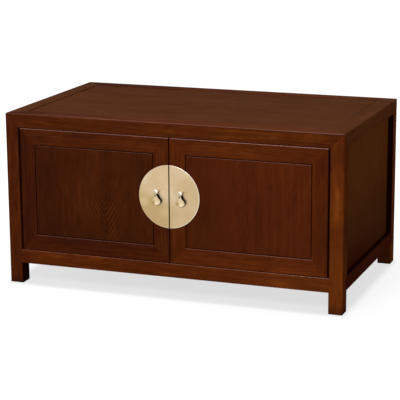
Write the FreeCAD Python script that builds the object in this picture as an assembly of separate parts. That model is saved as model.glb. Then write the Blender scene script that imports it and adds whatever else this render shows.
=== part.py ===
import FreeCAD, Part
import os

# Low kang cabinet. Four corner posts carry a mitred top frame with a flush panel and four bottom
# rails. Two inset doors turn on pins hidden in their outer stiles. A round brass plate, split down
# the middle, carries a drop pull on each door.
# Sizes are in millimetres. +Z is up, +X is the viewer's right, and the doors face -Y. The pieces
# are modelled with the front of the posts at y = 0, and are set on the part's origin when written.

# Outside of the case
case_width = 914.0
case_depth = 533.0
case_height = 457.0
leg_clearance = 55.0
outer_round = 3.0
foot_chamfer = 1.5

# Frame members of the case
post_size = 37.0
top_rail_width = 45.0
top_rail_height = 37.0
bottom_rail_height = 37.0
bottom_rail_thickness = 30.0
opening_ease = 1.5

# Joints between the members
joint_clearance = 0.1
mortise_end_clearance = 1.0
post_tenon_length = 10.0
post_tenon_thickness = 8.0
post_tenon_from_face = 6.0
post_tenon_from_inside = 5.0
post_tenon_cover = 12.0
rail_tenon_length = 20.0
rail_tenon_thickness = 10.0
rail_tenon_height = 13.0
rail_tenon_from_face = 16.0
rail_tenon_from_edge = 4.0
shoulder_depth = 12.0

# Panels of the case
panel_float = 1.0
groove_depth = 6.0
top_panel_drop = 0.8
top_panel_reveal = 2.0
top_tongue_from_top = 7.0
tongue_thickness = 8.0
panel_ease = 1.0
side_panel_recess = 12.0
side_panel_thickness = 10.0
back_panel_recess = 12.0
back_panel_thickness = 8.0
floor_thickness = 12.0
floor_drop = 8.0
floor_corner_clearance = 0.5

# Battens under the top panel and under the floor
batten_width = 36.0
batten_from_centre = 210.0
top_batten_height = 20.0
floor_batten_height = 14.0
batten_tenon = 6.0

# Doors
door_side_gap = 2.5
door_end_gap = 1.5
door_centre_gap = 3.0
door_setback = 0.5
door_thickness = 20.0
door_member = 42.0
door_ease = 1.5
door_tongue_from_front = 7.0
door_tongue_thickness = 7.0
door_panel_drop = 0.8
door_panel_reveal = 2.0
door_tenon_tip = 18.0
door_tenon_from_end = 20.0
door_tenon_height = 14.0
door_tenon_from_front = 7.0
door_tenon_thickness = 7.0

# Door pivots
pivot_from_edge = 12.0
pivot_from_front = 7.0
pivot_pin_radius = 3.5
pivot_running_clearance = 0.05
pivot_pin_in_door = 20.0
pivot_pin_in_rail = 10.0
pivot_retract_depth = 12.0
bush_radius = 5.0
bush_length = 12.0
thrust_washer_radius = 7.0
thrust_washer_bore = 3.8
thrust_washer_clearance = 0.2

# Stops behind the doors, and magnetic catches
stop_clearance = 0.3
stop_thickness = 9.0
top_stop_height = 18.0
bottom_stop_height = 12.0
stop_from_pivot = 20.0
catch_from_centre = 30.0
catch_below_rail = 9.0
magnet_radius = 4.0
magnet_length = 5.0
catch_plate_radius = 5.0
catch_plate_thickness = 1.5

# Round plate, split between the doors
plate_radius = 82.0
plate_centre_height = 267.0
plate_thickness = 1.5
plate_ease = 0.6
prong_radius = 1.0
prong_length = 8.0
prong_from_edge = 12.0
prong_above_centre = 62.0

# Drop pulls
pull_from_centre = 33.0
pull_above_plate_centre = 12.5
pull_stand_off = 7.5
pull_ball_radius = 6.0
pull_neck_radius = 3.5
pull_shank_radius = 3.0
pull_shank_clearance = 0.1
pull_shank_proud = 2.0
pull_pin_radius = 1.2
pull_pin_clearance = 0.05
pull_pin_short = 0.3
pull_tongue_thickness = 3.0
pull_tongue_radius = 3.0
pull_slot_clearance = 0.2
pull_slot_reach = 0.6
pull_length = 35.0
pull_width = 25.0
pull_thickness = 7.6
pull_shoulder = 6.8
nut_across_flats = 10.0
nut_thickness = 5.0
nut_washer_radius = 6.0
nut_washer_thickness = 1.0

# Shape of the drop: share of the way down, share of the width, share of the thickness
drop_sections = (
    (0.00, 0.24, 0.78),
    (0.11, 0.27, 0.79),
    (0.24, 0.41, 0.84),
    (0.40, 0.70, 0.91),
    (0.55, 0.93, 0.98),
    (0.69, 1.00, 1.00),
    (0.83, 0.87, 0.90),
    (0.94, 0.53, 0.66),
    (0.985, 0.24, 0.38),
)

# Places worked out from the sizes above
half_width = case_width / 2
opening_half = half_width - post_size
opening_bottom = leg_clearance + bottom_rail_height
opening_top = case_height - top_rail_height
door_outer = opening_half - door_side_gap
door_inner = door_centre_gap / 2
door_bottom = opening_bottom + door_end_gap
door_top = opening_top - door_end_gap
door_front = door_setback
door_back = door_front + door_thickness
pivot_x = door_outer - pivot_from_edge
pivot_y = door_front + pivot_from_front
plate_front = door_front - plate_thickness
pull_pivot_y = plate_front - pull_stand_off
pull_pivot_z = plate_centre_height + pull_above_plate_centre
floor_top = opening_bottom - floor_drop
front_reach = pull_ball_radius - pull_pivot_y
origin_shift = FreeCAD.Vector(0, (front_reach - case_depth) / 2, 0)

# How far a cutting tool runs past the face that it cuts
past = 5.0


def point(x, y, z):
    return FreeCAD.Vector(x, y, z)


def block(x, y, z):
    """A block between two limits on each axis."""
    size = (x[1] - x[0], y[1] - y[0], z[1] - z[0])
    return Part.makeBox(size[0], size[1], size[2], point(x[0], y[0], z[0]))


def prism(corners, run):
    """A flat outline carried along a straight run."""
    return Part.Face(Part.makePolygon(corners + corners[:1])).extrude(run)


def rod(radius, start, run):
    """A round bar from a point along a straight run."""
    return Part.makeCylinder(radius, run.Length, start, run)


def grown(limits, amount):
    return (limits[0] - amount, limits[1] + amount)


def to_left(shape):
    """The same piece on the other side of the cabinet."""
    return shape.mirror(point(0, 0, 0), point(1, 0, 0))


def to_back(shape):
    """The same piece at the other end of the cabinet's depth."""
    return shape.mirror(point(0, case_depth / 2, 0), point(0, 1, 0))


def both_sides(shape):
    return [shape, to_left(shape)]


def both_ends(shape):
    return [shape, to_back(shape)]


def four_corners(shape):
    return [piece for side in both_sides(shape) for piece in both_ends(side)]


def rim_sliver(opening, face_axis, face, inward, radius):
    """What comes off when the rim of an opening in a flat face is rounded."""
    depth = sorted((face, face + inward * radius * 2))
    hole = list(opening)
    hole[face_axis] = depth
    around = [grown(limits, radius * 3) for limits in opening]
    around[face_axis] = depth
    flat = block(*around).cut(block(*hole))
    rim = []
    for edge in flat.Edges:
        middle = edge.CenterOfMass
        on_face = abs(middle[face_axis] - face) < 1e-6
        inside = all(
            around[axis][0] + radius < middle[axis] < around[axis][1] - radius
            for axis in range(3)
            if axis != face_axis
        )
        if on_face and inside:
            rim.append(edge)
    return flat.cut(flat.makeFillet(radius, rim))


def rounded_case():
    """The outside of the whole case, with its upright and top edges rounded."""
    case = block((-half_width, half_width), (0, case_depth), (0, case_height))
    edges = [edge for edge in case.Edges if edge.CenterOfMass.z > 1]
    return case.makeFillet(outer_round, edges)


def front_opening_ease():
    opening = ((-opening_half, opening_half), (0, 0), (opening_bottom, opening_top))
    return rim_sliver(opening, 1, 0, 1, opening_ease)


def back_opening_ease():
    return to_back(front_opening_ease())


def side_opening_ease():
    opening = ((0, 0), (post_size, case_depth - post_size), (opening_bottom, opening_top))
    return rim_sliver(opening, 0, half_width, -1, opening_ease)


def front_leg_ease():
    opening = ((-opening_half, opening_half), (0, 0), (-case_height, leg_clearance))
    return rim_sliver(opening, 1, 0, 1, opening_ease)


def side_leg_ease():
    opening = ((0, 0), (post_size, case_depth - post_size), (-case_height, leg_clearance))
    return rim_sliver(opening, 0, half_width, -1, opening_ease)


def case_eases():
    """Everything that rounding takes off the rims of the case's openings."""
    front = [front_opening_ease(), front_leg_ease()]
    side = [side_opening_ease(), side_leg_ease()]
    eases = [piece for shape in front for piece in both_ends(shape)]
    eases += [piece for shape in side for piece in both_sides(shape)]
    return eases


def corner_wedge(share_low, share_high, axis):
    """Half of the top front right corner, on one side of the mitre seen along an axis.

    The mitre runs from the outer corner to the inner one. The shares say which of the two
    legs of the square, across and down, the wedge keeps.
    """
    reach = 2.0
    across = post_size * reach
    down = top_rail_height * reach
    corner = (0, 0)
    far = (across, down)
    third = (across * share_low, down * share_high)
    outline = [corner, third, far]
    if axis == 1:
        places = [point(half_width - a, -past, case_height - d) for a, d in outline]
        return prism(places, point(0, top_rail_width + 2 * past, 0))
    places = [point(half_width + past, a, case_height - d) for a, d in outline]
    return prism(places, point(-top_rail_width - 2 * past, 0, 0))


def plan_wedge(share_x, share_y):
    """Half of the top front right corner, on one side of the mitre seen from above."""
    reach = top_rail_width * 1.5
    outline = [(0, 0), (reach * share_x, reach * share_y), (reach, reach)]
    bottom = case_height - top_rail_height - past
    places = [point(half_width - a, b, bottom) for a, b in outline]
    return prism(places, point(0, 0, top_rail_height + 2 * past))


def over_front_mitre():
    return corner_wedge(1, 0, 1)


def under_front_mitre():
    return corner_wedge(0, 1, 1)


def over_side_mitre():
    return corner_wedge(1, 0, 0)


def under_side_mitre():
    return corner_wedge(0, 1, 0)


def post_tenon(clearance, end):
    """The tenon of the front right post that stands up into the front top rail."""
    inner = half_width - post_size + post_tenon_from_inside
    x = grown((inner, inner + post_tenon_length), clearance)
    y = grown((post_tenon_from_face, post_tenon_from_face + post_tenon_thickness), clearance)
    z = (opening_top, case_height - post_tenon_cover + end)
    return block(x, y, z)


def turned_to_side(shape):
    """A front right corner feature turned over the corner's mitre, onto the side."""
    return shape.mirror(point(half_width, 0, 0), point(1, 1, 0))


def rail_tenon(clearance, end):
    """The tenon of the front bottom rail that enters the front right post."""
    x = (opening_half, opening_half + rail_tenon_length + end)
    y = grown((rail_tenon_from_face, rail_tenon_from_face + rail_tenon_thickness), clearance)
    low = leg_clearance + rail_tenon_from_edge
    return block(x, y, grown((low, low + rail_tenon_height), clearance))


def side_rail_tenon(clearance, end):
    """The tenon of the right bottom rail, over the front rail's tenon in the same post."""
    y = (post_size - rail_tenon_length - end, post_size)
    outer = half_width - rail_tenon_from_face
    x = grown((outer - rail_tenon_thickness, outer), clearance)
    high = opening_bottom - rail_tenon_from_edge
    return block(x, y, grown((high - rail_tenon_height, high), clearance))


def pointed_shoulder():
    """The pointed shoulder that the front bottom rail lets into the face of the right post."""
    point_reach = bottom_rail_height / 2
    outline = [
        point(opening_half, 0, leg_clearance),
        point(opening_half + point_reach, 0, leg_clearance + point_reach),
        point(opening_half, 0, opening_bottom),
    ]
    return prism(outline, point(0, shoulder_depth, 0))


def top_panel_slab(edge, face):
    """The edge tongue of the top panel, grown at its edges and on its faces."""
    inset = top_rail_width - groove_depth + panel_float
    x = grown((-half_width + inset, half_width - inset), edge)
    y = grown((inset, case_depth - inset), edge)
    high = case_height - top_tongue_from_top
    return block(x, y, grown((high - tongue_thickness, high), face))


def side_panel_slab(edge, face):
    """The right side panel, grown at its edges and on its faces."""
    reach = groove_depth - panel_float
    outer = half_width - side_panel_recess
    x = grown((outer - side_panel_thickness, outer), face)
    y = grown((post_size - reach, case_depth - post_size + reach), edge)
    return block(x, y, grown((opening_bottom - reach, opening_top + reach), edge))


def back_panel_slab(edge, face):
    """The back panel, grown at its edges and on its faces."""
    reach = groove_depth - panel_float
    outer = case_depth - back_panel_recess
    x = grown((-opening_half - reach, opening_half + reach), edge)
    y = grown((outer - back_panel_thickness, outer), face)
    return block(x, y, grown((opening_bottom - reach, opening_top + reach), edge))


def floor_slab(edge, face):
    """The floor of the cabinet, grown at its edges and on its faces."""
    inset = bottom_rail_thickness - groove_depth + panel_float
    x = grown((-half_width + inset, half_width - inset), edge)
    y = grown((inset, case_depth - inset), edge)
    return block(x, y, grown((floor_top - floor_thickness, floor_top), face))


def panel_grooves():
    """The grooves that all the loose panels of the case run in."""
    sides = both_sides(side_panel_slab(panel_float, joint_clearance))
    back = back_panel_slab(panel_float, joint_clearance)
    top = top_panel_slab(panel_float, joint_clearance)
    floor = floor_slab(panel_float, joint_clearance)
    return sides + [back, top, floor]


def top_batten_blank(tenon, clearance):
    """The right batten under the top panel, with its tenons at the front and back."""
    x = grown((batten_from_centre, batten_from_centre + batten_width), clearance)
    y = grown((top_rail_width, case_depth - top_rail_width), tenon)
    high = case_height - top_tongue_from_top - tongue_thickness
    return block(x, y, (high - top_batten_height, high))


def floor_batten_blank(tenon, clearance):
    """The right batten under the floor, with its tenons at the front and back."""
    x = grown((batten_from_centre, batten_from_centre + batten_width), clearance)
    y = grown((bottom_rail_thickness, case_depth - bottom_rail_thickness), tenon)
    high = floor_top - floor_thickness
    return block(x, y, (high - floor_batten_height, high))


def batten_mortises():
    end = batten_tenon + mortise_end_clearance
    top = both_sides(top_batten_blank(end, joint_clearance))
    return top + both_sides(floor_batten_blank(end, joint_clearance))


def bush_holes():
    """Holes for the pivot bushes, in the rails over and under the right door."""
    over = rod(bush_radius, point(pivot_x, pivot_y, opening_top), point(0, 0, bush_length))
    under = rod(bush_radius, point(pivot_x, pivot_y, opening_bottom), point(0, 0, -bush_length))
    return [over, under]


def front_right_post():
    """A corner post: mitred and tenoned at its top, mortised for the bottom rails."""
    post = block((opening_half, half_width), (0, post_size), (0, case_height))
    foot = [edge for edge in post.Edges if edge.CenterOfMass.z < 1]
    post = post.makeChamfer(foot_chamfer, foot)
    post = post.cut([over_front_mitre(), over_side_mitre()])
    tenon = post_tenon(0, 0)
    post = post.fuse([tenon, turned_to_side(tenon)])
    shoulder = pointed_shoulder()
    cuts = [shoulder, turned_to_side(shoulder)]
    cuts += [rail_tenon(joint_clearance, mortise_end_clearance)]
    cuts += [side_rail_tenon(joint_clearance, mortise_end_clearance)]
    return post.cut(cuts).removeSplitter()


def finished(piece, extra_cuts=()):
    """A member of the case with its grooves, and its outer edges and openings eased."""
    piece = piece.common(rounded_case())
    return piece.cut(panel_grooves() + case_eases() + list(extra_cuts))


def front_top_rail():
    """A long member of the top frame, mitred to the posts and to the short members."""
    x = (-half_width, half_width)
    rail = block(x, (0, top_rail_width), (opening_top, case_height))
    mortise = post_tenon(joint_clearance, mortise_end_clearance)
    cuts = [under_front_mitre(), plan_wedge(0, 1), mortise]
    return rail.cut([piece for cut in cuts for piece in both_sides(cut)])


def right_top_rail():
    """A short member of the top frame, mitred to the posts and to the long members."""
    x = (half_width - top_rail_width, half_width)
    rail = block(x, (0, case_depth), (opening_top, case_height))
    mortise = turned_to_side(post_tenon(joint_clearance, mortise_end_clearance))
    cuts = [under_side_mitre(), plan_wedge(1, 0), mortise]
    return rail.cut([piece for cut in cuts for piece in both_ends(cut)])


def front_bottom_rail():
    """A long bottom rail with a pointed shoulder and a tenon at each end."""
    rail = block(
        (-opening_half, opening_half),
        (0, bottom_rail_thickness),
        (leg_clearance, opening_bottom),
    )
    ends = [pointed_shoulder(), rail_tenon(0, 0)]
    return rail.fuse([piece for end in ends for piece in both_sides(end)]).removeSplitter()


def right_bottom_rail():
    """A short bottom rail with a pointed shoulder and a tenon at each end."""
    rail = block(
        (half_width - bottom_rail_thickness, half_width),
        (post_size, case_depth - post_size),
        (leg_clearance, opening_bottom),
    )
    ends = [turned_to_side(pointed_shoulder()), side_rail_tenon(0, 0)]
    return rail.fuse([piece for end in ends for piece in both_ends(end)]).removeSplitter()


def top_panel():
    """The flush panel of the top, loose in the frame on an edge tongue."""
    inset = top_rail_width + top_panel_reveal
    high = case_height - top_panel_drop
    low = case_height - top_tongue_from_top - tongue_thickness
    x = (-half_width + inset, half_width - inset)
    field = block(x, (inset, case_depth - inset), (low, high))
    rim = [edge for edge in field.Edges if abs(edge.CenterOfMass.z - high) < 1e-6]
    field = field.makeFillet(panel_ease, rim)
    return field.fuse(top_panel_slab(0, 0)).removeSplitter()


def floor_panel():
    """The floor board, let into the bottom rails and notched round the posts."""
    notch = block(
        (opening_half - floor_corner_clearance, half_width),
        (0, post_size + floor_corner_clearance),
        (0, opening_bottom),
    )
    return floor_slab(0, 0).cut(four_corners(notch))


def door_blank():
    """The right door's frame before it is cut into its four members."""
    x = (door_inner, door_outer)
    z = (door_bottom, door_top)
    whole = block(x, (door_front, door_back), z)
    whole = whole.makeFillet(door_ease, whole.Edges)
    opening = (grown(x, -door_member), (door_front - past, door_back + past), grown(z, -door_member))
    frame = whole.cut(block(*opening))
    front_ease = rim_sliver(opening, 1, door_front, 1, door_ease)
    return frame.cut(front_ease)


def door_panel_slab(edge, face):
    """The edge tongue of the door panel, grown at its edges and on its faces."""
    inset = door_member - groove_depth + panel_float
    x = grown((door_inner + inset, door_outer - inset), edge)
    z = grown((door_bottom + inset, door_top - inset), edge)
    front = door_front + door_tongue_from_front
    return block(x, grown((front, front + door_tongue_thickness), face), z)


def door_tenons(clearance, end):
    """The four tenons by which the door's rails enter its stiles."""
    front = door_front + door_tenon_from_front
    y = grown((front, front + door_tenon_thickness), clearance)
    low = door_bottom + door_tenon_from_end
    high = door_top - door_tenon_from_end
    heights = [(low, low + door_tenon_height), (high - door_tenon_height, high)]
    tip = door_tenon_tip - end
    reaches = [
        (door_inner + tip, door_inner + door_member),
        (door_outer - door_member, door_outer - tip),
    ]
    return [block(x, y, grown(z, clearance)) for x in reaches for z in heights]


def pivot_pin_holes():
    """The holes for the two pivot pins in the outer stile of the right door."""
    up = point(0, 0, pivot_pin_in_door)
    deeper = point(0, 0, -pivot_pin_in_door - pivot_retract_depth)
    low = rod(pivot_pin_radius, point(pivot_x, pivot_y, door_bottom), up)
    high = rod(pivot_pin_radius, point(pivot_x, pivot_y, door_top), deeper)
    return [low, high]


def pull_hole():
    """The hole for the pull's shank, through the plate and the inner stile."""
    start = point(pull_from_centre, plate_front - past, pull_pivot_z)
    run = point(0, door_thickness + plate_thickness + 2 * past, 0)
    return rod(pull_shank_radius + pull_shank_clearance, start, run)


def prongs():
    """The two prongs on the back of the right half plate, driven into the inner stile."""
    heights = [plate_centre_height + side * prong_above_centre for side in (-1, 1)]
    run = point(0, plate_thickness / 2 + prong_length, 0)
    y = door_front - plate_thickness / 2
    return [rod(prong_radius, point(prong_from_edge, y, z), run) for z in heights]


def catch_plate():
    """The steel strike disc let into the back of the door's top rail."""
    start = point(catch_from_centre, door_back, opening_top - catch_below_rail)
    return rod(catch_plate_radius, start, point(0, -catch_plate_thickness, 0))


def mitre_region(corners):
    """The whole thickness of the door inside an outline in its face."""
    start = [point(x, door_front - past, z) for x, z in corners]
    return prism(start, point(0, door_thickness + 2 * past, 0))


def door_members():
    """The right door's two stiles and two rails, mitred, tenoned, grooved and bored."""
    reach = door_member * 1.25
    outer_low = (door_outer, door_bottom)
    outer_high = (door_outer, door_top)
    inner_low = (door_inner, door_bottom)
    inner_high = (door_inner, door_top)
    regions = {
        "door_outer_stile": [
            outer_low,
            outer_high,
            (door_outer - reach, door_top - reach),
            (door_outer - reach, door_bottom + reach),
        ],
        "door_inner_stile": [
            inner_low,
            inner_high,
            (door_inner + reach, door_top - reach),
            (door_inner + reach, door_bottom + reach),
        ],
        "door_top_rail": [
            inner_high,
            outer_high,
            (door_outer - reach, door_top - reach),
            (door_inner + reach, door_top - reach),
        ],
        "door_bottom_rail": [
            inner_low,
            outer_low,
            (door_outer - reach, door_bottom + reach),
            (door_inner + reach, door_bottom + reach),
        ],
    }
    frame = door_blank()
    holes = [door_panel_slab(panel_float, joint_clearance), pull_hole(), catch_plate()]
    holes += pivot_pin_holes() + prongs()
    members = {}
    for name, corners in regions.items():
        member = frame.common(mitre_region(corners))
        if name.endswith("stile"):
            member = member.cut(door_tenons(joint_clearance, mortise_end_clearance))
        else:
            tenons = [tenon for tenon in door_tenons(0, 0) if tenon.distToShape(member)[0] < 1e-6]
            member = member.fuse(tenons).removeSplitter()
        members[name] = member.cut(holes)
    return members


def door_panel():
    """The flush panel of the right door, loose in its frame on an edge tongue."""
    inset = door_member + door_panel_reveal
    front = door_front + door_panel_drop
    back = door_front + door_tongue_from_front + door_tongue_thickness
    x = (door_inner + inset, door_outer - inset)
    field = block(x, (front, back), (door_bottom + inset, door_top - inset))
    rim = [edge for edge in field.Edges if abs(edge.CenterOfMass.y - front) < 1e-6]
    field = field.makeFillet(panel_ease, rim)
    return field.fuse(door_panel_slab(0, 0)).removeSplitter()


def pivot_pins():
    """The right door's two pins: the lower is fixed, the upper slides up from its hole."""
    length = pivot_pin_in_door + door_end_gap + pivot_pin_in_rail
    low = point(pivot_x, pivot_y, opening_bottom - pivot_pin_in_rail)
    high = point(pivot_x, pivot_y, door_top - pivot_pin_in_door)
    pins = [rod(pivot_pin_radius, start, point(0, 0, length)) for start in (low, high)]
    return Part.makeCompound(pins)


def pivot_bushes():
    """The bushes that the pins of both doors turn in."""
    bore = pivot_pin_radius + pivot_running_clearance
    drill = rod(bore, point(pivot_x, pivot_y, 0), point(0, 0, case_height))
    bushes = [hole.cut(drill) for hole in bush_holes()]
    return Part.makeCompound([bush for shape in bushes for bush in both_sides(shape)])


def thrust_washers():
    """The washers that carry the doors, round their lower pins."""
    start = point(pivot_x, pivot_y, opening_bottom)
    rise = point(0, 0, door_end_gap - thrust_washer_clearance)
    washer = rod(thrust_washer_radius, start, rise).cut(rod(thrust_washer_bore, start, rise))
    return Part.makeCompound(both_sides(washer))


def stop_reach():
    return pivot_x - stop_from_pivot


def stop_front():
    return door_back + stop_clearance


def magnets():
    """The two magnets let into the front of the upper stop."""
    start = point(catch_from_centre, stop_front(), opening_top - catch_below_rail)
    return both_sides(rod(magnet_radius, start, point(0, magnet_length, 0)))


def top_stop():
    """The strip under the top rail that the doors close against."""
    y = (stop_front(), stop_front() + stop_thickness)
    strip = block((-stop_reach(), stop_reach()), y, (opening_top - top_stop_height, opening_top))
    return strip.cut(magnets())


def bottom_stop():
    """The strip on the bottom rail that the doors close against."""
    y = (stop_front(), stop_front() + stop_thickness)
    z = (opening_bottom, opening_bottom + bottom_stop_height)
    return block((-stop_reach(), stop_reach()), y, z)


def half_plate():
    """The right half of the round brass plate, with two prongs on its back."""
    start = point(0, door_front, plate_centre_height)
    disc = rod(plate_radius, start, point(0, -plate_thickness, 0))
    span = 2 * plate_radius
    keep = block(
        (door_inner, span),
        (plate_front - past, door_front + past),
        (plate_centre_height - span, plate_centre_height + span),
    )
    plate = disc.common(keep)
    rim = [edge for edge in plate.Edges if abs(edge.CenterOfMass.y - plate_front) < 1e-6]
    plate = plate.makeFillet(plate_ease, rim)
    return plate.cut(pull_hole()).fuse(prongs()).removeSplitter()


def pull_pivot():
    return point(pull_from_centre, pull_pivot_y, pull_pivot_z)


def pull_pin(radius):
    """The cross pin of the right pull, in the ball of its post."""
    half = pull_ball_radius - pull_pin_short
    return rod(radius, pull_pivot() - point(half, 0, 0), point(2 * half, 0, 0))


def pull_post():
    """The turned post of the right pull: a slotted ball on a shank that takes a nut."""
    pivot = pull_pivot()
    ball = Part.makeSphere(pull_ball_radius, pivot)
    neck = rod(pull_neck_radius, pivot, point(0, pull_stand_off, 0))
    end = door_back + nut_washer_thickness + nut_thickness + pull_shank_proud
    shank = rod(pull_shank_radius, pivot, point(0, end - pull_pivot_y, 0))
    slot_half = pull_tongue_thickness / 2 + pull_slot_clearance
    slot_back = pull_tongue_radius + pull_slot_reach
    slot = block(
        (pull_from_centre - slot_half, pull_from_centre + slot_half),
        (pull_pivot_y - pull_ball_radius - past, pull_pivot_y + slot_back),
        (pull_pivot_z - pull_ball_radius - past, pull_pivot_z + slot_back),
    )
    return ball.fuse([neck, shank]).removeSplitter().cut([slot, pull_pin(pull_pin_radius)])


def oval(z, half_wide, half_thick):
    """An oval section of the drop, lying flat at a height."""
    centre = point(pull_from_centre, pull_pivot_y, z)
    curve = Part.Ellipse(centre, half_wide, half_thick)
    return Part.Wire([curve.toShape()])


def pull_drop():
    """The cast drop of the right pull: a pear shape hung by a thin tongue in the ball."""
    fall = pull_length - pull_shoulder
    sections = []
    for down, wide, thick in drop_sections:
        z = pull_pivot_z - pull_shoulder - fall * down
        half_wide = pull_width / 2 * wide
        half_thick = pull_thickness / 2 * thick
        if half_wide > half_thick:
            sections.append(oval(z, half_wide, half_thick))
        else:
            sections.append(Part.Wire([Part.Circle(
                point(pull_from_centre, pull_pivot_y, z), point(0, 0, 1), half_wide
            ).toShape()]))
    body = Part.makeLoft(sections, True)
    pivot = pull_pivot()
    half = point(pull_tongue_thickness / 2, 0, 0)
    eye = rod(pull_tongue_radius, pivot - half, half * 2)
    tongue = block(
        (pull_from_centre - half.x, pull_from_centre + half.x),
        (pull_pivot_y - pull_tongue_radius, pull_pivot_y + pull_tongue_radius),
        (pull_pivot_z - pull_shoulder - 1, pull_pivot_z),
    )
    return body.fuse([eye, tongue]).cut(pull_pin(pull_pin_radius + pull_pin_clearance))


def pull_washer():
    """The washer under the right pull's nut, inside the door."""
    start = point(pull_from_centre, door_back, pull_pivot_z)
    run = point(0, nut_washer_thickness, 0)
    return rod(nut_washer_radius, start, run).cut(rod(pull_shank_radius, start, run))


def pull_nut():
    """The nut of the right pull, inside the door."""
    start = point(pull_from_centre, door_back + nut_washer_thickness, pull_pivot_z)
    run = point(0, nut_thickness, 0)
    corners = []
    for step in range(6):
        turn = FreeCAD.Rotation(point(0, 1, 0), 60 * step)
        corner = point(nut_across_flats / 3 ** 0.5, 0, 0)
        corners.append(start + turn.multVec(corner))
    return prism(corners, run).cut(rod(pull_shank_radius, start, run))


def write(name, shape):
    """Set a finished piece on the part's origin and write it to its own file."""
    moved = shape.copy()
    moved.translate(origin_shift)
    moved.exportStep("parts/" + name + ".step")
    print(name, len(moved.Solids), round(moved.Volume, 1), moved.isValid())


def write_pair(name, right_shape):
    """Write the right-hand piece and its mirror image."""
    write("right_" + name, right_shape)
    write("left_" + name, to_left(right_shape))


os.makedirs("parts", exist_ok=True)

# Case
post = front_right_post()
write_pair("front_post", finished(post))
write_pair("back_post", finished(to_back(post)))
bush_cuts = [piece for hole in bush_holes() for piece in both_sides(hole)]
write("front_top_rail", finished(front_top_rail(), batten_mortises() + bush_cuts))
write("back_top_rail", finished(to_back(front_top_rail()), batten_mortises()))
write_pair("top_rail", finished(right_top_rail()))
write("front_bottom_rail", finished(front_bottom_rail(), batten_mortises() + bush_cuts))
write("back_bottom_rail", finished(to_back(front_bottom_rail()), batten_mortises()))
write_pair("bottom_rail", finished(right_bottom_rail()))
write("top_panel", top_panel())
write_pair("side_panel", side_panel_slab(0, 0))
write("back_panel", back_panel_slab(0, 0))
write("floor_panel", floor_panel())
write_pair("top_batten", top_batten_blank(batten_tenon, 0))
write_pair("floor_batten", floor_batten_blank(batten_tenon, 0))
write("door_stop_top", top_stop())
write("door_stop_bottom", bottom_stop())
write("pivot_bushes", pivot_bushes())
write("thrust_washers", thrust_washers())
write("catch_magnets", Part.makeCompound(magnets()))

# Doors, with their plates and pulls
for member_name, member in door_members().items():
    write_pair(member_name, member)
write_pair("door_panel", door_panel())
write_pair("pivot_pins", pivot_pins())
write_pair("catch_plate", catch_plate())
write_pair("half_plate", half_plate())
write_pair("pull_post", pull_post())
write_pair("pull_pin", pull_pin(pull_pin_radius))
write_pair("pull_washer", pull_washer())
write_pair("pull_nut", pull_nut())
write_pair("pull_drop", pull_drop())
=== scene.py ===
import math

import bpy
from mathutils import Matrix, Vector


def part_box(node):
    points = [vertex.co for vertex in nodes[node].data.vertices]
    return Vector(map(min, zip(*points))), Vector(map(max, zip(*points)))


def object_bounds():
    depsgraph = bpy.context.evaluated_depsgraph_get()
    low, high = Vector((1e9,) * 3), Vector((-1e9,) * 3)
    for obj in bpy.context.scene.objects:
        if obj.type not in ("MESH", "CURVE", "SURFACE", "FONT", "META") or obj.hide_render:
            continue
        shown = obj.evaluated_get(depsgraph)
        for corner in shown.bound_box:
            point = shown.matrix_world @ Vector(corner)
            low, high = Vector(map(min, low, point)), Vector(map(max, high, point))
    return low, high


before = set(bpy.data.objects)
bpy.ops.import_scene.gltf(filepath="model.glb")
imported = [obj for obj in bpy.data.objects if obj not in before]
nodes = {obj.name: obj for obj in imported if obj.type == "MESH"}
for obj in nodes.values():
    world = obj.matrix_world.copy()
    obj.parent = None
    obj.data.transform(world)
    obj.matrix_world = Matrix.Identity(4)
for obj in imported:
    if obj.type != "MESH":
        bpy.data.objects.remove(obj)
cad_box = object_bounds()

# The four posts run from the floor to the top frame and carry everything. They are sawn from a
# ring-porous hardwood, planed square, eased along the edges and stained a red brown. The stain is
# rubbed back and closed with a thin oil finish, so the wood is nearly matt except along its edges.


def new_group(name, inputs, outputs):
    """An empty shader node group with its sockets, and its first and last nodes."""
    group = bpy.data.node_groups.new(name, "ShaderNodeTree")
    for socket, kind, value in inputs:
        made = group.interface.new_socket(name=socket, in_out="INPUT", socket_type=kind)
        if value is not None:
            made.default_value = value
    for socket, kind in outputs:
        group.interface.new_socket(name=socket, in_out="OUTPUT", socket_type=kind)
    start = group.nodes.new("NodeGroupInput")
    end = group.nodes.new("NodeGroupOutput")
    return group, start, end


def wire(tree, value, socket):
    """Put a number, a colour or another node's output on a socket."""
    if isinstance(value, bpy.types.NodeSocket):
        tree.links.new(value, socket)
    else:
        socket.default_value = value


def math_node(tree, operation, *values):
    node = tree.nodes.new("ShaderNodeMath")
    node.operation = operation
    for index, value in enumerate(values):
        wire(tree, value, node.inputs[index])
    return node.outputs[0]


def product(tree, first, *others):
    result = first
    for value in others:
        result = math_node(tree, "MULTIPLY", result, value)
    return result


def total(tree, first, *others):
    result = first
    for value in others:
        result = math_node(tree, "ADD", result, value)
    return result


def noise_node(tree, vector, scale, detail=2.0, roughness=0.5, distortion=0.0):
    node = tree.nodes.new("ShaderNodeTexNoise")
    wire(tree, vector, node.inputs["Vector"])
    node.inputs["Scale"].default_value = scale
    node.inputs["Detail"].default_value = detail
    node.inputs["Roughness"].default_value = roughness
    node.inputs["Distortion"].default_value = distortion
    return node.outputs["Fac"]


def stretched(tree, vector, along, across):
    """Coordinates scaled apart, so that a pattern draws out along the grain."""
    node = tree.nodes.new("ShaderNodeVectorMath")
    node.operation = "MULTIPLY"
    wire(tree, vector, node.inputs[0])
    node.inputs[1].default_value = (along, across, across)
    return node.outputs[0]


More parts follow.
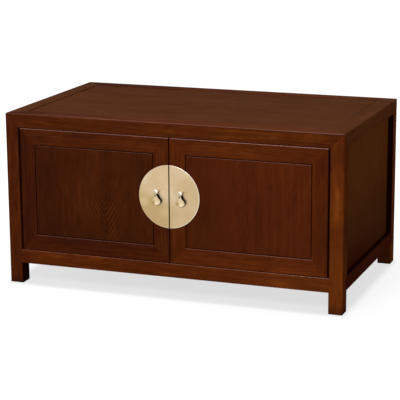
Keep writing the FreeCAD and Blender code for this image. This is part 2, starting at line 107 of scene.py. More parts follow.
def spread(tree, value, low, high, to_low=0.0, to_high=1.0):
    """A smooth step from one number to another while a value goes from low to high."""
    node = tree.nodes.new("ShaderNodeMapRange")
    node.interpolation_type = "SMOOTHSTEP"
    wire(tree, value, node.inputs["Value"])
    ends = {"From Min": low, "From Max": high, "To Min": to_low, "To Max": to_high}
    for socket, number in ends.items():
        node.inputs[socket].default_value = number
    return node.outputs["Result"]


def axes_of(tree, vector):
    """The outputs X, Y and Z of a place or a direction."""
    parts = tree.nodes.new("ShaderNodeSeparateXYZ")
    tree.links.new(vector, parts.inputs[0])
    return parts.outputs


def build_grain():
    """Growth rings that narrow along a pith on X, with pores, fibres and slow clouds of stain.

    The patterns are noises with so many waves to the metre along the grain and across it.
    """
    group, start, end = new_group(
        "wood grain",
        [("Vector", "NodeSocketVector", None), ("Ring width", "NodeSocketFloat", 0.006),
         ("Taper", "NodeSocketFloat", 0.05), ("Waviness", "NodeSocketFloat", 0.006),
         ("Ring strength", "NodeSocketFloat", 0.05), ("Reach", "NodeSocketFloat", 1.0)],
        [("Tone", "NodeSocketFloat"), ("Pores", "NodeSocketFloat"), ("Height", "NodeSocketFloat")],
    )
    vector = start.outputs["Vector"]

    def pattern(along, across, detail=2.0, roughness=0.5, distortion=0.0):
        """A noise drawn out along the grain."""
        drawn_out = stretched(group, vector, along, across)
        return noise_node(group, drawn_out, 1.0, detail, roughness, distortion)

    def both_ways(noise, reach):
        """A noise as a shift to either side, up to half the reach."""
        return product(group, math_node(group, "SUBTRACT", noise, 0.5), reach)

    place = axes_of(group, vector)
    flat = group.nodes.new("ShaderNodeCombineXYZ")
    group.links.new(place["Y"], flat.inputs["X"])
    group.links.new(place["Z"], flat.inputs["Y"])
    from_pith = group.nodes.new("ShaderNodeVectorMath")
    from_pith.operation = "LENGTH"
    group.links.new(flat.outputs[0], from_pith.inputs[0])
    ripples = pattern(9.0, 38.0)
    ripple_reach = 0.0060
    radius = total(
        group, from_pith.outputs["Value"], product(group, place["X"], start.outputs["Taper"]),
        both_ways(pattern(2.2, 9.0), start.outputs["Waviness"]), both_ways(ripples, ripple_reach),
    )
    turns = math_node(group, "DIVIDE", radius, start.outputs["Ring width"])
    rings = spread(group, math_node(group, "SINE", product(group, turns, math.tau)), 0.0, 1.0)

    figure_stretch = 0.55
    beside = math_node(group, "DIVIDE", place["Y"], start.outputs["Reach"])
    beyond = product(
        group, math_node(group, "DIVIDE", place["X"], start.outputs["Reach"]), figure_stretch
    )
    away = total(group, product(group, beside, beside), product(group, beyond, beyond))
    near_pith = spread(group, away, 0.05, 1.0, 1.0, 0.12)
    broken_up = spread(group, ripples, 0.38, 0.62, 0.15, 1.3)
    strength = product(group, near_pith, start.outputs["Ring strength"], broken_up)

    years = group.nodes.new("ShaderNodeTexNoise")
    years.noise_dimensions = "1D"
    group.links.new(turns, years.inputs["W"])
    years.inputs["Scale"].default_value = 0.45
    years.inputs["Detail"].default_value = 2.0
    fibres = pattern(9.0, 380.0, 3.0, 0.6)
    clouds = pattern(4.0, 30.0, 3.0, 0.55, 0.1)
    flames = pattern(24.0, 80.0, 2.0, 0.5, 0.4)
    patches = pattern(7.0, 12.0, 3.0, 0.5, 0.3)
    mean_ring, tone_start = 0.36, -0.10
    tone = product(group, math_node(group, "SUBTRACT", rings, mean_ring), strength)
    tone = total(group, tone, tone_start)
    shares = (
        (years.outputs["Fac"], 0.10), (fibres, 0.19), (clouds, 0.34), (flames, 0.24), (patches, 0.33),
    )
    for noise, share in shares:
        tone = total(group, tone, product(group, noise, share))

    open_pores = spread(group, pattern(30.0, 900.0, 1.0), 0.54, 0.66)
    early_wood = spread(group, rings, 0.05, 0.60, 1.0, 0.25)
    pores = product(group, open_pores, early_wood)
    fibre_height = 0.35
    height = math_node(group, "SUBTRACT", product(group, fibres, fibre_height), pores)
    group.links.new(tone, end.inputs["Tone"])
    group.links.new(pores, end.inputs["Pores"])
    group.links.new(height, end.inputs["Height"])
    return group


def build_edges():
    """Where hands and dusters polish the finish: the eased edges that face up, which also take a painted
    highlight, and whole tops.
    """
    group, start, end = new_group(
        "eased edges", [], [("Mask", "NodeSocketFloat"), ("Tops", "NodeSocketFloat")]
    )
    normal = group.nodes.new("ShaderNodeTexCoord").outputs["Normal"]
    facing = axes_of(group, normal)
    upward = spread(group, facing["Z"], 0.10, 0.45)
    absolute = group.nodes.new("ShaderNodeVectorMath")
    absolute.operation = "ABSOLUTE"
    group.links.new(normal, absolute.inputs[0])
    shares = axes_of(group, absolute.outputs[0])
    largest = math_node(group, "MAXIMUM", shares["X"], shares["Y"])
    largest = math_node(group, "MAXIMUM", largest, shares["Z"])
    slanting = spread(group, largest, 0.88, 0.985, 1.0, 0.0)
    group.links.new(product(group, slanting, upward), end.inputs["Mask"])
    group.links.new(spread(group, facing["Z"], 0.55, 0.95), end.inputs["Tops"])
    return group


grain_group = build_grain()
edge_group = build_edges()
quarter = math.pi / 2
turn_to_grain = {
    "top": (0, 0, 0),
    "long": (-quarter, 0, 0),
    "short": (0, 0, -quarter),
    "upright": (quarter, 0, quarter),
}


def mixed(tree, factor, first, second):
    """The first colour where the factor is nought, and the second one where it is one."""
    node = tree.nodes.new("ShaderNodeMix")
    node.data_type = "RGBA"
    factor_socket, first_socket, second_socket, result_socket = 0, 6, 7, 2
    wire(tree, factor, node.inputs[factor_socket])
    wire(tree, first, node.inputs[first_socket])
    wire(tree, second, node.inputs[second_socket])
    return node.outputs[result_socket]


def stain(red, green, blue):
    """A colour chip of the stain, from its printed values to the ones that light works with."""
    chip = []
    for value in (red, green, blue):
        share = value / 255
        chip.append(share / 12.92 if share <= 0.04045 else ((share + 0.055) / 1.055) ** 2.4)
    return (*chip, 1.0)


# Tints for patches of the wood's own tone and of painted light and shade: pale, red and dark.
light_and_stain_pale, shade_and_stain_red, shade_and_stain_dark = stain(122, 60, 20), stain(76, 24, 8), stain(30, 7, 7)


def stained_wood(name, lie, pith, deep, body, glow, ring=0.009, taper=0.02, wave=0.02, figure=0.05,
                 reach=1.0, polish=0.02, edge_polish=0.6, edge_light_and_shade_tint=stain(130, 80, 68),
                 darker_shade_and_stain=(), redder_shade_and_stain=(), paler_light_and_stain=()):
    """A stained and oiled board with its grain along the way it lies and its pith at a place.

    Each of darker_shade_and_stain, in a dark tint, of redder_shade_and_stain, in a red tint, and of
    paler_light_and_stain, in a pale tint, is a share, then one or more axes with a clean and a full
    place in metres. Some patches are the wood's own tone, others are painted shade or painted light.
    """
    material = bpy.data.materials.new(name)
    material.use_nodes = True
    tree = material.node_tree
    shader = tree.nodes["Principled BSDF"]
    coordinates = tree.nodes.new("ShaderNodeTexCoord")
    mapping = tree.nodes.new("ShaderNodeMapping")
    mapping.inputs["Location"].default_value = pith
    mapping.inputs["Rotation"].default_value = turn_to_grain[lie]
    tree.links.new(coordinates.outputs["Object"], mapping.inputs["Vector"])
    grain = tree.nodes.new("ShaderNodeGroup")
    grain.node_tree = grain_group
    tree.links.new(mapping.outputs[0], grain.inputs["Vector"])
    settings = {
        "Ring width": ring, "Taper": taper, "Waviness": wave, "Ring strength": figure, "Reach": reach,
    }
    for socket, number in settings.items():
        grain.inputs[socket].default_value = number
    tone, pores = grain.outputs["Tone"], grain.outputs["Pores"]
    edges = tree.nodes.new("ShaderNodeGroup")
    edges.node_tree = edge_group
    eased = edges.outputs["Mask"]

    pore_share, pore_shade, painted_edge_share = 0.45, 0.35, 0.35
    pore_tint = [share * pore_shade for share in deep[:3]] + [1.0]
    colour = mixed(tree, spread(tree, tone, 0.34, 0.52), deep, body)
    colour = mixed(tree, spread(tree, tone, 0.50, 0.68), colour, glow)
    colour = mixed(tree, product(tree, pores, pore_share), colour, pore_tint)
    # Eased edges that face up take the edge tint in their colour: a painted highlight where the tint is
    # pale, a painted shade where it is dark.
    colour = mixed(tree, product(tree, eased, painted_edge_share), colour, edge_light_and_shade_tint)
    place = axes_of(tree, coordinates.outputs["Object"])
    # Each patch mixes in its tint: the wood's own tone in some places, painted shade or painted light in
    # others, as noted at each piece.
    for patches, tint in ((paler_light_and_stain, light_and_stain_pale), (redder_shade_and_stain, shade_and_stain_red), (darker_shade_and_stain, shade_and_stain_dark)):
        for share, *reaches in patches:
            near = share
            for axis, clean, full in reaches:
                near = product(tree, near, spread(tree, place[axis], clean, full))
            colour = mixed(tree, near, colour, tint)
    tree.links.new(colour, shader.inputs["Base Color"])

    wood_rough, pore_rough = 0.42, 0.2
    rough = total(tree, wood_rough, product(tree, pores, pore_rough))
    tree.links.new(rough, shader.inputs["Roughness"])
    sheen = spread(tree, tone, 0.3, 0.7, polish * 0.6, polish * 1.4)
    sheen = product(tree, sheen, spread(tree, edges.outputs["Tops"], 0.0, 1.0, 0.25, 1.0))
    sheen = total(tree, sheen, product(tree, eased, edge_polish))
    tree.links.new(sheen, shader.inputs["Coat Weight"])
    shader.inputs["Coat Roughness"].default_value = 0.28
    shader.inputs["Specular IOR Level"].default_value = 0.0
    bump = tree.nodes.new("ShaderNodeBump")
    bump.inputs["Strength"].default_value = 0.25
    bump.inputs["Distance"].default_value = 0.0002
    tree.links.new(grain.outputs["Height"], bump.inputs["Height"])
    tree.links.new(bump.outputs[0], shader.inputs["Normal"])
    return material


def finish(names, material):
    """Give carried-over pieces their finish."""
    for name in names:
        for slot in nodes[name].material_slots:
            slot.material = material


case_side, case_top = cad_box[1][0], cad_box[1][2]
front_post_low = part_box("right_front_post")[0]
back_post_low, back_post_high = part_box("right_back_post")
post_edge, back_post_edge = front_post_low[0], back_post_low[1]
bottom_rail_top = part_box("right_bottom_rail")[1][2]
# The posts darken toward the floor: the front posts over their last 30 mm, all posts over their last few
# millimetres.
floor_edge_darkening = (0.5, ("Z", 0.005, 0.002))
foot_darkening = (0.45, ("Z", 0.030, 0.006))
finish(
    ["right_front_post"],
    stained_wood(
        "right_post_wood", "upright", (0.0, -0.40, 0.33),
        stain(72, 30, 9), stain(94, 42, 12), stain(124, 62, 17),
        # The front face darkens in a strip beside the door gap: painted shade.
        darker_shade_and_stain=[foot_darkening, floor_edge_darkening, (0.8, ("X", post_edge + 0.0035, post_edge + 0.0012)),
                 (0.32, ("Z", 0.34, 0.40))],
        paler_light_and_stain=[(0.24, ("Z", 0.22, 0.12))],
    ),
)
finish(
    ["right_back_post", "left_back_post"],
    stained_wood(
        "back_post_wood", "upright", (0.1, -0.35, 0.28),
        stain(76, 32, 12), stain(96, 43, 16), stain(120, 60, 22),
        # The front face of each back post, in the side panel's recess above the bottom rail, is
        # darkened: painted shade.
        darker_shade_and_stain=[floor_edge_darkening,
                 (0.95, ("Y", back_post_edge + 0.0024, back_post_edge + 0.0004),
                  ("Z", bottom_rail_top - 0.004, bottom_rail_top + 0.004))],
        # Paler toward the floor: painted light against the shade under the cabinet.
        paler_light_and_stain=[(0.6, ("Z", 0.085, 0.050))],
    ),
)
finish(
    ["left_front_post"],
    stained_wood(
        # These colours are darker than the right post's: painted shade, darker toward the left of the
        # front.
        "left_post_wood", "upright", (0.3, 0.47, 0.36),
        stain(56, 22, 8), stain(70, 28, 9), stain(90, 41, 12),
        # The front face darkens in a strip beside the door gap: painted shade.
        darker_shade_and_stain=[foot_darkening, floor_edge_darkening, (0.85, ("X", -post_edge - 0.0035, -post_edge - 0.0012)),
                 (0.14, ("Z", 0.28, 0.36))],
        paler_light_and_stain=[(0.10, ("Z", 0.22, 0.15))],
    ),
)

# The top frame is four rails, mitred to each other and to the posts in a three-way corner. Like
# the posts they are stained hardwood, with the grain along each rail.
top_face = ("Z", case_top - 0.0008, case_top - 0.0002)
below_top_face = ("Z", case_top - 0.0005, case_top - 0.0020)
finish(
    ["front_top_rail", "back_top_rail"],
    stained_wood(
        "long_top_rail_wood", "long", (0.12, -0.36, -0.16),
        stain(62, 26, 8), stain(76, 33, 10), stain(100, 47, 13),
        # The pale edge tint is a painted highlight.
        polish=0.03, edge_polish=0.35, edge_light_and_shade_tint=stain(105, 58, 44),
        # Darker toward the left: painted shade across the front.
        darker_shade_and_stain=[(0.18, ("X", 0.1, -0.4)), (0.26, ("X", 0.335, 0.395), below_top_face)],
        # The top face is paler toward the right: painted light.
        paler_light_and_stain=[(0.26, top_face, ("X", -0.50, 0.10))],
    ),
)
short_rail_body = stain(84, 43, 14)
finish(
    ["right_top_rail", "left_top_rail"],
    stained_wood(
        "short_top_rail_wood", "short", (-0.2, 0.33, -0.34),
        stain(74, 36, 12), short_rail_body, stain(96, 50, 17),
        polish=0.03, edge_polish=0.02, edge_light_and_shade_tint=short_rail_body,
        # Darker over the outer face and arris of each side rail: painted shade.
        darker_shade_and_stain=[(0.16, ("X", side * (case_side - 0.0025), side * (case_side - 0.0005)))
                 for side in (1, -1)],
    ),
)

# The top panel is one wide board, held loose on a tongue in the frame and flush with it. Two
# battens let into the long rails keep it flat from below, and two more carry the floor board.
short_rail_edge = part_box("right_top_rail")[0][0]
back_rail_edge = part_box("back_top_rail")[0][1]
finish(
    ["top_panel"],
    stained_wood(
        "top_panel_wood", "top", (0.0, 0.05, -0.38),
        stain(81, 42, 16), stain(87, 45, 17), stain(94, 50, 19),
        # A dark edge tint, and darkening along the reveal beside the right rail, fading toward the
        # front, and along the back rail: painted shade. A little darker toward the left: painted shade.
        ring=0.007, wave=0.03, polish=0.028, edge_polish=0.10, edge_light_and_shade_tint=stain(52, 26, 14),
        darker_shade_and_stain=[(0.06, ("X", 0.35, 0.05)),
                 (0.5, ("X", short_rail_edge - 0.0050, short_rail_edge - 0.0020), ("Y", -0.24, 0.05)),
                 (0.4, ("Y", back_rail_edge - 0.0063, back_rail_edge - 0.0038))],
    ),
)
inner_stain = stain(70, 38, 20), stain(92, 52, 28), stain(112, 68, 38)
finish(
    ["right_top_batten", "left_top_batten", "right_floor_batten", "left_floor_batten"],
    stained_wood("batten_wood", "short", (0.0, 0.07, -0.2), *inner_stain, polish=0.02, edge_polish=0.1),
)

# The bottom rails meet the posts in pointed shoulders and hold the floor board in a groove. They
# are the lightest wood of the front, with long golden streaks.
finish(
    ["front_bottom_rail", "back_bottom_rail"],
    stained_wood(
        "long_bottom_rail_wood", "long", (0.0, -0.02, -0.18),
        stain(66, 26, 8), stain(84, 35, 10), stain(118, 58, 14),
        # Darker at the left end and paler toward the right: painted shade and painted light across the
        # front.
        darker_shade_and_stain=[(0.22, ("X", -0.36, -0.44))],
        paler_light_and_stain=[(0.05, ("X", -0.40, -0.30)), (0.20, ("X", -0.05, 0.36))],
    ),
)
short_rail_deep = stain(66, 27, 8)
finish(
    ["right_bottom_rail", "left_bottom_rail"],
    stained_wood(
        "short_bottom_rail_wood", "short", (0.1, 0.14, -0.03),
        short_rail_deep, stain(84, 36, 10), stain(110, 53, 14),
        edge_polish=0.0, edge_light_and_shade_tint=short_rail_deep,
        redder_shade_and_stain=[(0.85, ("Z", 0.20, 0.10))],
        darker_shade_and_stain=[(0.25, ("Y", 0.1, -0.22)),
                 # The rail's top face, under the recessed side panel, is darkened: painted shade.
                 (0.9, ("Z", bottom_rail_top - 0.0025, bottom_rail_top - 0.0005))],
    ),
)

# The side panels stand back from the posts in grooves. They are browner than the front, and
# painted shade darkens them toward their foot and beside the back posts.
finish(
    ["right_side_panel", "left_side_panel"],
    stained_wood(
        "side_panel_wood", "upright", (0.0, -0.35, 0.1),
        stain(81, 42, 15), stain(88, 46, 16), stain(96, 51, 18),
        polish=0.02, edge_polish=0.05, edge_light_and_shade_tint=stain(60, 28, 12),
        # Darker beside the back posts and toward the bottom, and redder and darker low at the front:
        # painted shade.
        darker_shade_and_stain=[(0.95, ("Y", back_post_edge - 0.0188, back_post_edge - 0.0088)),
                 (0.22, ("Z", 0.30, 0.09))],
        redder_shade_and_stain=[(0.8, ("Z", 0.18, 0.11), ("Y", 0.20, -0.06))],
    ),
)

# The back panel, the floor board and the two stop strips are plain inner wood with a thin stain.
for names, title, lie, pith in (
    (["back_panel"], "back_panel_wood", "long", (0.0, -0.25, 0.35)),
    (["floor_panel", "door_stop_top", "door_stop_bottom"], "floor_wood", "top", (0.2, 0.08, -0.05)),
):
    finish(names, stained_wood(title, lie, pith, *inner_stain, polish=0.02, edge_polish=0.1))

# Each door is a mitred frame round a flush panel. The stiles stand, the rails lie, and the left
# panel is a plain-sawn board with a pointed figure, while the right one is plain.
door_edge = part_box("right_door_outer_stile")[1][0]
right_door_stain = stain(68, 28, 9), stain(80, 34, 10), stain(98, 45, 12)
right_foot_stain = stain(74, 30, 10), stain(88, 37, 12), stain(108, 49, 14)
# The left door's colours are darker than the right door's: painted shade, darker toward the left of the
# front.
left_door_shaded_tones = stain(54, 21, 9), stain(66, 27, 10), stain(84, 38, 11)
left_head_shaded_tones = stain(58, 23, 9), stain(71, 30, 10), stain(92, 42, 12)
for side, out, shift, tones, head_tones, foot_tones, hinge_side_darkening in (
    ("right", 1, 0.05, right_door_stain, right_door_stain, right_foot_stain, (0.12, ("X", 0.37, 0.42))),
    ("left", -1, 0.31, left_door_shaded_tones, left_head_shaded_tones, left_door_shaded_tones, (0.42, ("X", -0.36, -0.41))),
):
    # Each door darkens over its outer 4 mm beside the gap: painted shade. Each also darkens toward its
    # hinge side; the left door's strong darkening there is painted shade across the front.
    gap_edge_shade = (0.8, ("X", out * (door_edge - 0.004), out * (door_edge - 0.001)))
    rail_pith = (shift, -0.2, -0.34)
    finish(
        [side + "_door_outer_stile", side + "_door_inner_stile"],
        stained_wood(side + "_stile_wood", "upright", (shift, shift, 0.33), *tones,
                     darker_shade_and_stain=[hinge_side_darkening, gap_edge_shade]),
    )
    finish(
        [side + "_door_bottom_rail"],
        stained_wood(side + "_door_bottom_rail_wood", "long", rail_pith, *foot_tones, edge_polish=0.45),
    )
    # The door top rails' pinkish edge tint is a painted highlight along their upper edge.
    finish(
        [side + "_door_top_rail"],
        stained_wood(side + "_door_top_rail_wood", "long", rail_pith, *head_tones, edge_polish=1.0,
                     edge_light_and_shade_tint=stain(196, 134, 132)),
    )
finish(
    ["right_door_panel"],
    stained_wood(
        "right_door_panel_wood", "upright", (0.0, -0.14, 0.60),
        stain(69, 28, 10), stain(77, 32, 11), stain(87, 37, 13),
        # Darker toward its left: painted shade across the front.
        taper=0.008, wave=0.01, darker_shade_and_stain=[(0.20, ("X", 0.26, 0.10))],
    ),
)
finish(
    ["left_door_panel"],
    stained_wood(
        "left_door_panel_wood", "upright", (-0.196, 0.183, 0.2678),
        stain(53, 22, 8), stain(63, 27, 9), stain(78, 35, 11),
        ring=0.0105, taper=-0.62, wave=0.040, figure=0.21, reach=0.052,
        # Darker toward its left: painted shade across the front.
        darker_shade_and_stain=[(0.20, ("X", -0.22, -0.34))],
    ),
)

# The round plate is 1.5 mm sheet brass, cut in two, brushed and left satin. Two prongs on the back
# of each half are pressed into the door. The pulls are cast and turned in the same brass.
plate_low, plate_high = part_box("right_half_plate")
plate_radius, plate_height = plate_high[0], (plate_low[2] + plate_high[2]) / 2
pin_low, pin_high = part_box("right_pull_pin")
pull_reach, pull_height = (pin_low[0] + pin_high[0]) / 2, (pin_low[2] + pin_high[2]) / 2
shadow_black, back_shade_black = (0.02, 0.022, 0.02, 1), (0.012, 0.013, 0.014, 1)
pale_brass, rim_highlight_brass = (0.62, 0.48, 0.28, 1), (0.94, 0.88, 0.78, 1)
reflection_dark_gold, reflection_bright_gold = (0.36, 0.22, 0.06, 1), (0.86, 0.73, 0.50, 1)


def distance_from(tree, place, x, z):
    """How far a point of the front is from a place across and up."""
    sideways = math_node(tree, "SUBTRACT", place["X"], x)
    upward = math_node(tree, "SUBTRACT", place["Z"], z)
    squares = total(tree, product(tree, sideways, sideways), product(tree, upward, upward))
    return math_node(tree, "SQRT", squares)


def plate_painted_reflections(tree, place, colour):
    """Painted reflections on the plate: darker toward its lower left, on its right flank and along its
    lower part, with a painted highlight on its rim, brightest on the right.
    """
    rise = math_node(tree, "SUBTRACT", place["Z"], plate_height)
    slant = total(tree, rise, product(tree, place["X"], 0.45))
    lower_left = product(tree, spread(tree, slant, 0.005, -0.045, 0.0, 0.85),
                         spread(tree, place["X"], 0.030, -0.015))
    colour = mixed(tree, lower_left, colour, (0.43, 0.305, 0.125, 1))
    level = math_node(tree, "SUBTRACT", rise, product(tree, place["X"], 0.27))
    right_flank = product(tree, spread(tree, place["X"], 0.005, 0.050, 0.0, 0.60),
                          spread(tree, math_node(tree, "ABSOLUTE", level), 0.072, 0.012))
    colour = mixed(tree, right_flank, colour, (0.47, 0.34, 0.17, 1))
    colour = mixed(tree, spread(tree, rise, 0.01, -0.05, 0.0, 0.5), colour, (0.455, 0.305, 0.145, 1))
    # The rim's painted highlight, brightest on the right.
    rim = spread(tree, distance_from(tree, place, 0.0, plate_height),
                 plate_radius - 0.0024, plate_radius - 0.0008)
    rim = product(tree, rim, spread(tree, place["X"], -0.045, 0.05, 0.10, 0.60))
    return mixed(tree, rim, colour, rim_highlight_brass)


def satin_brass(name, base, dark, rough, shaded_back=False, reflections_painted=False, spots=()):
    """Brushed brass with slow clouds of tarnish.

    A casting's back may be painted nearly black, a painted shade, and the plate may carry painted
    reflections and a painted rim highlight. Each of spots is a round mark: its place across and up,
    its radius, how soft its edge is, its colour and its strength.
    """
    material = bpy.data.materials.new(name)
    material.use_nodes = True
    tree = material.node_tree
    shader = tree.nodes["Principled BSDF"]
    coordinates = tree.nodes.new("ShaderNodeTexCoord")
    point = coordinates.outputs["Object"]
    clouds = noise_node(tree, point, 14.0, 2.0, 0.5, 0.6)
    lines = noise_node(tree, stretched(tree, point, 60.0, 2600.0), 1.0, 2.0)
    colour = mixed(tree, spread(tree, clouds, 0.35, 0.65), (*dark, 1), (*base, 1))
    if shaded_back:
        # Faces turned from the front are painted nearly black: painted shade of the drop's unlit back.
        facing = axes_of(tree, coordinates.outputs["Normal"])
        colour = mixed(tree, spread(tree, facing["Y"], -0.50, -0.20), colour, back_shade_black)
    place = axes_of(tree, point)
    if reflections_painted:
        colour = plate_painted_reflections(tree, place, colour)
    for x, z, radius, soft, mark, share in spots:
        away = distance_from(tree, place, x, z)
        colour = mixed(tree, spread(tree, away, radius, radius * (1.0 - soft), 0.0, share), colour, mark)
    tree.links.new(colour, shader.inputs["Base Color"])
    shader.inputs["Metallic"].default_value = 1.0
    brush_rough = 0.12
    roughness = total(tree, rough, product(tree, lines, brush_rough))
    tree.links.new(roughness, shader.inputs["Roughness"])
    bump = tree.nodes.new("ShaderNodeBump")
    bump.inputs["Strength"].default_value = 0.10
    bump.inputs["Distance"].default_value = 0.0001
    tree.links.new(lines, bump.inputs["Height"])
    tree.links.new(bump.outputs[0], shader.inputs["Normal"])
    return material


# Broad round marks on the plate, dark and pale: painted reflections.
plate_reflection_marks = [
    (across, plate_height - fall, radius, 1.0, mark, share)
    for across, fall, radius, mark, share in (
        (-0.040, 0.011, 0.020, (0.42, 0.29, 0.11, 1), 0.80),
        (-0.069, 0.016, 0.020, pale_brass, 0.60),
        (-0.012, 0.042, 0.022, (0.60, 0.45, 0.25, 1), 0.45),
        (0.016, 0.040, 0.024, (0.46, 0.32, 0.15, 1), 0.50),
        (0.050, 0.044, 0.024, (0.46, 0.32, 0.15, 1), 0.40),
    )
]
# A dark mark on the plate just right of and below each drop: the drop's painted shadow.
drop_shadow_marks = [
    (side * pull_reach + 0.0012, pull_height - fall, radius, 0.3, shadow_black, 0.9)
    for side in (-1, 1)
    for fall, radius in ((0.0258, 0.0128), (0.0185, 0.0092), (0.0115, 0.0060))
]
# On each ball, a darker gold patch dims its lower half and a dark dot sits below it at the slot: painted
# shade.
ball_shade_marks = [
    mark
    for side in (-1, 1)
    for mark in (
        (side * pull_reach, pull_height - 0.0040, 0.0065, 0.6, pale_brass, 0.9),
        (side * pull_reach - 0.0028, pull_height - 0.0050, 0.0030, 0.5, shadow_black, 0.85),
    )
]
finish(
    ["right_half_plate", "left_half_plate"],
    satin_brass("plate_brass", (0.611, 0.477, 0.310), (0.552, 0.410, 0.239), 0.28, reflections_painted=True,
                spots=plate_reflection_marks + drop_shadow_marks),
)
# The balls and pins are a whitish brass that stands in for the ball's highlight: a painted highlight.
highlit_pull_brass = satin_brass("highlit_pull_brass", (0.88, 0.87, 0.85), (0.76, 0.74, 0.71), 0.50, spots=ball_shade_marks)
plain_brass = satin_brass("plain_brass", (0.68, 0.53, 0.33), (0.58, 0.43, 0.24), 0.32)
for side, reach in (("right", pull_reach), ("left", -pull_reach)):
    # On each drop, a dark gold spot at its lower left and a bright gold one at its lower right: painted
    # reflections. A dark dot at its neck below the ball: painted shade.
    drop_light_and_shade_marks = [
        (reach - 0.0060, pull_height - 0.0268, 0.0080, 0.85, reflection_dark_gold, 0.90),
        (reach + 0.0038, pull_height - 0.0300, 0.0080, 0.85, reflection_bright_gold, 0.70),
        (reach - 0.0012, pull_height - 0.0090, 0.0034, 0.5, shadow_black, 0.9),
    ]
    drop_brass = satin_brass(side + "_drop_brass", (0.66, 0.52, 0.32), (0.54, 0.40, 0.205), 0.16,
                             shaded_back=True, spots=drop_light_and_shade_marks)
    finish([side + "_pull_post", side + "_pull_pin"], highlit_pull_brass)
    finish([side + "_pull_washer", side + "_pull_nut"], plain_brass)
    finish([side + "_pull_drop"], drop_brass)

# The doors turn on brass pins in brass bushes, over thin washers. Two small magnets in the upper
# stop hold the doors shut against steel plates let into the doors' backs.


def bright_zinc(name):
    """Zinc on steel, with a fine spangle in its tone and its gloss."""
    material = bpy.data.materials.new(name)
    material.use_nodes = True
    tree = material.node_tree
    shader = tree.nodes["Principled BSDF"]
    spangle = noise_node(tree, tree.nodes.new("ShaderNodeTexCoord").outputs["Object"], 900.0, 2.0)
    tone = mixed(tree, spangle, (0.50, 0.51, 0.53, 1), (0.66, 0.67, 0.68, 1))
    tree.links.new(tone, shader.inputs["Base Color"])
    tree.links.new(spread(tree, spangle, 0.3, 0.7, 0.22, 0.42), shader.inputs["Roughness"])
    shader.inputs["Metallic"].default_value = 1.0
    return material


finish(
    ["pivot_bushes", "thrust_washers", "right_pivot_pins", "left_pivot_pins"],
    satin_brass("oiled_pivot_brass", (0.075, 0.050, 0.026), (0.045, 0.030, 0.016), 0.45),
)
finish(["catch_magnets", "right_catch_plate", "left_catch_plate"], bright_zinc("bright_zinc"))

# The cabinet stands on a plain pale floor under soft lamps, before a white surround. The floor
# and the surround look white, and give the cabinet a softer, weaker light than they show.


def seen_directly(tree):
    """One where the eye, a mirror or a glass looks at the background, and nought for soft light."""
    path = tree.nodes.new("ShaderNodeLightPath")
    seen = math_node(tree, "MAXIMUM", path.outputs["Is Camera Ray"], path.outputs["Is Glossy Ray"])
    return math_node(tree, "MAXIMUM", seen, path.outputs["Is Transmission Ray"])


def floor_finish(name):
    """Matt paint that looks white, with a painted grey shadow where the cabinet covers it."""
    material = bpy.data.materials.new(name)
    material.use_nodes = True
    tree = material.node_tree
    shader = tree.nodes["Principled BSDF"]
    shader.inputs["Roughness"].default_value = 0.9
    shader.inputs["Specular IOR Level"].default_value = 0.0
    seen = seen_directly(tree)
    lit_grey, seen_grey = (0.33, 0.33, 0.33, 1), (0.13, 0.13, 0.13, 1)
    tree.links.new(mixed(tree, seen, lit_grey, seen_grey), shader.inputs["Base Color"])
    place = axes_of(tree, tree.nodes.new("ShaderNodeTexCoord").outputs["Object"])
    half_depth = (back_post_high[1] - front_post_low[1]) / 2
    beside = math_node(tree, "SUBTRACT", math_node(tree, "ABSOLUTE", place["X"]), case_side)
    before = math_node(tree, "SUBTRACT", math_node(tree, "ABSOLUTE", place["Y"]), half_depth)
    outside = math_node(tree, "MAXIMUM", beside, before)
    # The glow is weaker inside the cabinet's footprint and rises outside it: a painted shadow under the
    # cabinet.
    white = total(tree, spread(tree, outside, -0.012, 0.020, 0.70, 0.88),
                  spread(tree, outside, 0.01, 0.4, 0.0, 0.14))
    shader.inputs["Emission Color"].default_value = (1, 1, 1, 1)
    tree.links.new(product(tree, seen, white), shader.inputs["Emission Strength"])
    return material


bpy.ops.mesh.primitive_plane_add(size=16.0, location=(0.0, 0.0, 0.0))
floor = bpy.context.object
floor.name = "studio_floor"
floor.data.materials.append(floor_finish("floor_paint"))

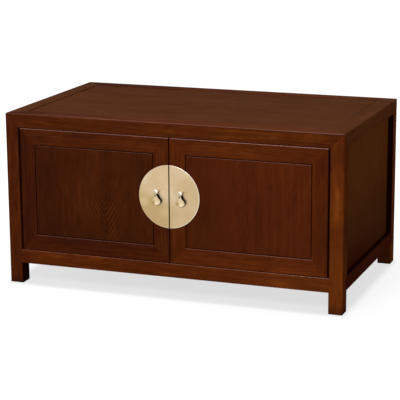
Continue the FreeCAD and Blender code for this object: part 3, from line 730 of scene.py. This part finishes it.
world = bpy.data.worlds.new("studio_surround")
bpy.context.scene.world = world
world.use_nodes = True
surround = world.node_tree.nodes["Background"]
surround.inputs["Color"].default_value = (1, 1, 1, 1)
soft_level = 0.27
level = product(world.node_tree, seen_directly(world.node_tree), 1.0 - soft_level)
level = total(world.node_tree, level, soft_level)
world.node_tree.links.new(level, surround.inputs["Strength"])


def soft_lamp(name, place, target, wide, high, power, mirrored=True):
    """A flat lamp that faces its target. It isn't seen itself, and glossy finishes may mirror it."""
    lamp = bpy.data.lights.new(name, "AREA")
    lamp.shape = "RECTANGLE"
    lamp.size = wide
    lamp.size_y = high
    lamp.energy = power
    holder = bpy.data.objects.new(name, lamp)
    bpy.context.scene.collection.objects.link(holder)
    holder.location = place
    holder.rotation_euler = (Vector(target) - Vector(place)).to_track_quat("-Z", "Y").to_euler()
    holder.visible_camera = False
    holder.visible_glossy = mirrored


middle = (0.0, 0.0, 0.25)
soft_lamp("key", (0.0, -2.1, 1.7), (0.1, 0.0, 0.25), 0.9, 0.9, 50.0)
soft_lamp("overhead", (-0.8, -0.9, 2.3), middle, 0.6, 0.6, 5.0)
soft_lamp("side", (0.86, 0.0, 0.52), (0.457, 0.0, 0.42), 0.7, 0.12, 0.80)
soft_lamp("left_fill", (-2.6, -0.1, 0.9), middle, 1.0, 0.8, 30.0, mirrored=False)
soft_lamp("back_fill", (-0.4, 2.6, 0.9), middle, 1.2, 0.8, 30.0, mirrored=False)

# The camera stands to the right of the cabinet, a little above it, with a long lens.
stand = (1.4289, -3.8506, 1.1826)
turn_degrees, dip_degrees, roll_degrees = 20.54, 13.45, -0.37
camera_data = bpy.data.cameras.new("camera")
camera_data.lens = 141.2
camera_data.sensor_width = 36.0
camera = bpy.data.objects.new("camera", camera_data)
bpy.context.scene.collection.objects.link(camera)
turn = Matrix.Rotation(math.radians(turn_degrees), 4, "Z")
dip = Matrix.Rotation(math.radians(90.0 - dip_degrees), 4, "X")
roll = Matrix.Rotation(math.radians(roll_degrees), 4, "Z")
camera.matrix_world = Matrix.Translation(stand) @ turn @ dip @ roll
bpy.context.scene.camera = camera
bpy.context.scene.view_settings.view_transform = "Standard"
